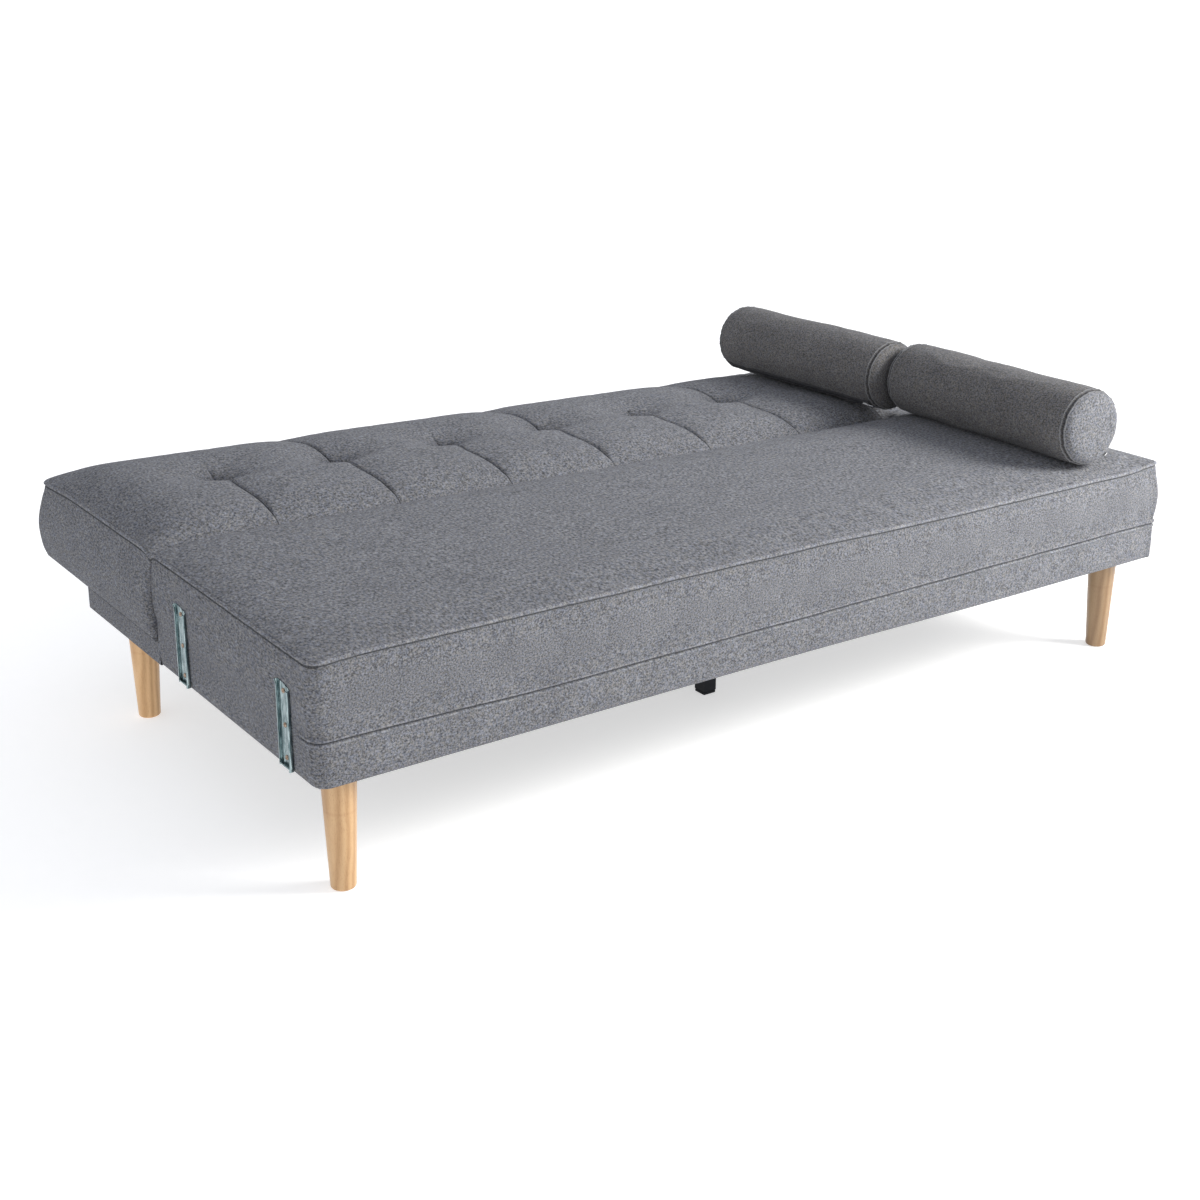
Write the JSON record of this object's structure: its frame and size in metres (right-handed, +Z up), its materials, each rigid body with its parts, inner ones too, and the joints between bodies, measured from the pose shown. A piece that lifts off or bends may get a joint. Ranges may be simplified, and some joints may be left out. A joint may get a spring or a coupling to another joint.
{
  "type": "futon sofa bed",
  "caption": "Click-clack futon sofa bed laid flat: upholstered seat and tufted backrest on turned wooden legs, with bolster cushions and arm brackets.",
  "frame": {"origin": "on the floor, below the middle of the bed's box", "axes": "+X along the sofa towards its right end as seen from the front, +Y from the front of the seat to the far edge of the backrest, +Z up"},
  "size_m": [1.817, 1.107, 0.5435],
  "materials": {
    "upholstery_fabric": "woven melange grey polyester, matt",
    "bolster_fabric": "woven melange grey polyester, matt",
    "foam": "open-cell foam, matt",
    "dust_lining": "non-woven lining, matt",
    "leg_wood": "clear-lacquered beech, satin",
    "plywood": "raw plywood",
    "pine": "raw planed pine",
    "black_steel": "black powder coat, satin",
    "nylon": "moulded nylon, matt",
    "zinc_steel": "bright zinc plate with a blue-green tint",
    "screw_steel": "yellow zinc plate",
    "zip_metal": "nickel plate"
  },
  "bodies": {
    "seat_base": {"arm_bracket_left_front": "zinc_steel", "arm_bracket_left_rear": "zinc_steel", "arm_bracket_right_front": "zinc_steel", "arm_bracket_right_rear": "zinc_steel", "base_front_rail": "pine", "base_left_rail": "pine", "base_long_beam": "pine", "base_rear_rail": "pine", "base_right_rail": "pine", "centre_foot": "black_steel", "centre_foot_cap": "nylon", "dust_cover": "dust_lining", "hinge_pin_left": "black_steel", "hinge_pin_right": "black_steel", "hinge_seat_leaf_left": "black_steel", "hinge_seat_leaf_right": "black_steel", "leg_bolt_front_left": "zinc_steel", "leg_bolt_front_right": "zinc_steel", "leg_bolt_rear_left": "zinc_steel", "leg_bolt_rear_right": "zinc_steel", "leg_front_left": "leg_wood", "leg_front_right": "leg_wood", "leg_plate_front_left": "black_steel", "leg_plate_front_right": "black_steel", "leg_plate_rear_left": "black_steel", "leg_plate_rear_right": "black_steel", "leg_rear_left": "leg_wood", "leg_rear_right": "leg_wood", "plinth_cover": "upholstery_fabric", "screw_left_front_low": "screw_steel", "screw_left_front_mid": "screw_steel", "screw_left_front_top": "screw_steel", "screw_left_rear_low": "screw_steel", "screw_left_rear_mid": "screw_steel", "screw_left_rear_top": "screw_steel", "screw_right_front_low": "screw_steel", "screw_right_front_mid": "screw_steel", "screw_right_front_top": "screw_steel", "screw_right_rear_low": "screw_steel", "screw_right_rear_mid": "screw_steel", "screw_right_rear_top": "screw_steel", "seat_board": "plywood", "seat_cover": "upholstery_fabric", "seat_foam": "foam", "seat_rear_rail": "pine"},
    "backrest": {"back_board": "plywood", "back_bottom_rail": "pine", "back_cover": "upholstery_fabric", "back_foam": "foam", "back_left_rail": "pine", "back_right_rail": "pine", "back_top_rail": "pine", "hinge_back_leaf_left": "black_steel", "hinge_back_leaf_right": "black_steel"},
    "near_bolster": {"near_bolster_cover": "bolster_fabric", "near_bolster_core": "foam"},
    "far_bolster": {"far_bolster_cover": "bolster_fabric", "far_bolster_core": "foam"},
    "near_zip": {"near_zip_slider": "zip_metal"},
    "far_zip": {"far_zip_slider": "zip_metal"}
  },
  "joints": [
    {"name": "recline", "type": "hinge", "parent": "seat_base", "child": "backrest", "pos_m": [0, 0.0245, 0.368], "axis": [1, 0, 0], "range_deg": [0, 72]},
    {"name": "near_bolster_lift", "type": "slide", "parent": "seat_base", "child": "near_bolster", "axis": [0, 0, 1], "range_m": [0, 0.15]},
    {"name": "far_bolster_swing", "type": "hinge", "parent": "seat_base", "child": "far_bolster", "pos_m": [0.47, -0.012, 0.47], "axis": [0.7071, -0.7071, 0], "range_deg": [0, 180]},
    {"name": "near_zip_slide", "type": "slide", "parent": "near_bolster", "child": "near_zip", "axis": [0.0523, 0.9986, 0], "range_m": [0, 0.4]},
    {"name": "far_zip_slide", "type": "slide", "parent": "far_bolster", "child": "far_zip", "axis": [0, 1, 0], "range_m": [0, 0.4]}
  ],
  "couplings": [
    {"joint": "far_bolster_swing", "follows": "recline", "ratio": 2.5}
  ]
}
